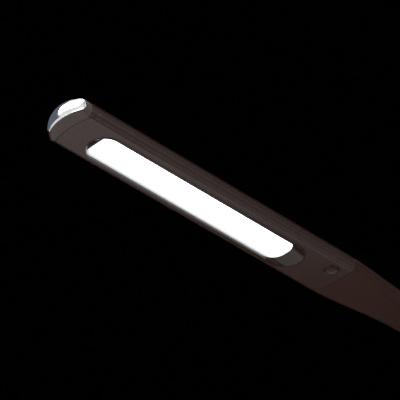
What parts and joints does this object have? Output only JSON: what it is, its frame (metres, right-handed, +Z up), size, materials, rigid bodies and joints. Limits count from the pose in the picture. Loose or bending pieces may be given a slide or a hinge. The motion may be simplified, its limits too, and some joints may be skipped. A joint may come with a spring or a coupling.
{
  "type": "folding desk lamp",
  "caption": "Folding LED desk lamp: a long flat light head on a slim hinged arm above a weighted base, with a push button under the head.",
  "frame": {"origin": "middle of the rubber pad's underside, on the desk", "axes": "+Z up, the light head points along -Y, +X to the side where the push button sits"},
  "size_m": [0.15, 0.4265, 0.5136],
  "materials": {
    "gloss_brown": "glossy dark brown",
    "satin_brown": "satin dark brown",
    "painted_brown": "satin dark brown paint on cast metal",
    "chrome": "polished",
    "diffuser_white": "opal, lit",
    "white_plastic": "matt white",
    "board_white": "white coated board",
    "diode_yellow": "phosphor",
    "bare_aluminium": "mill",
    "steel": "plated",
    "brass": "plain",
    "cast_iron": "grey coated plate",
    "rubber": "matt",
    "black_plastic": "matt",
    "circuit_green": "solder resist"
  },
  "bodies": {
    "base": {"foot_pad": "rubber", "base_plate": "black_plastic", "base_weight": "cast_iron", "base_cover": "satin_brown", "base_screws": "steel", "driver_board": "circuit_green", "power_jack": "black_plastic", "jack_pin": "brass", "hinge_post": "painted_brown", "post_screws": "steel", "base_hinge_pin": "steel", "base_hinge_nut": "steel", "base_hinge_washers": "brass", "base_hinge_caps": "chrome"},
    "arm": {"arm_lower_lug": "painted_brown", "arm_core": "bare_aluminium", "arm_upper_lug": "painted_brown", "arm_front_shell": "satin_brown", "arm_rear_shell": "satin_brown", "arm_screws": "steel", "arm_lead": "black_plastic"},
    "head": {"neck_bracket": "painted_brown", "knuckle_pin": "steel", "knuckle_nut": "steel", "knuckle_washers": "brass", "knuckle_caps": "chrome", "neck_top_shell": "satin_brown", "neck_bottom_shell": "satin_brown", "head_top_shell": "gloss_brown", "head_bottom_panel": "gloss_brown", "window_bezel": "gloss_brown", "diffuser": "diffuser_white", "reflector_tray": "white_plastic", "led_board": "board_white", "led_chips": "diode_yellow", "heat_spreader": "bare_aluminium", "spreader_screws": "steel", "end_cap": "chrome", "cap_ring": "chrome", "switch_board": "circuit_green", "switch_body": "black_plastic", "switch_spring": "steel", "head_lead": "black_plastic"},
    "button": {"button_cap": "gloss_brown"}
  },
  "joints": [
    {"name": "arm_fold", "type": "hinge", "parent": "base", "child": "arm", "pos_m": [0, 0.071, 0.0523], "axis": [1, 0, 0], "range_deg": [-20, 90]},
    {"name": "head_fold", "type": "hinge", "parent": "arm", "child": "head", "pos_m": [0, 0.071, 0.4843], "axis": [1, 0, 0], "range_deg": [-60, 90]},
    {"name": "button_press", "type": "slide", "parent": "head", "child": "button", "axis": [0, 0, 1], "range_m": [0, 0.0008], "stiffness_N_per_m": 600, "springref_m": -0.0004, "deforming": ["switch_spring"]}
  ]
}
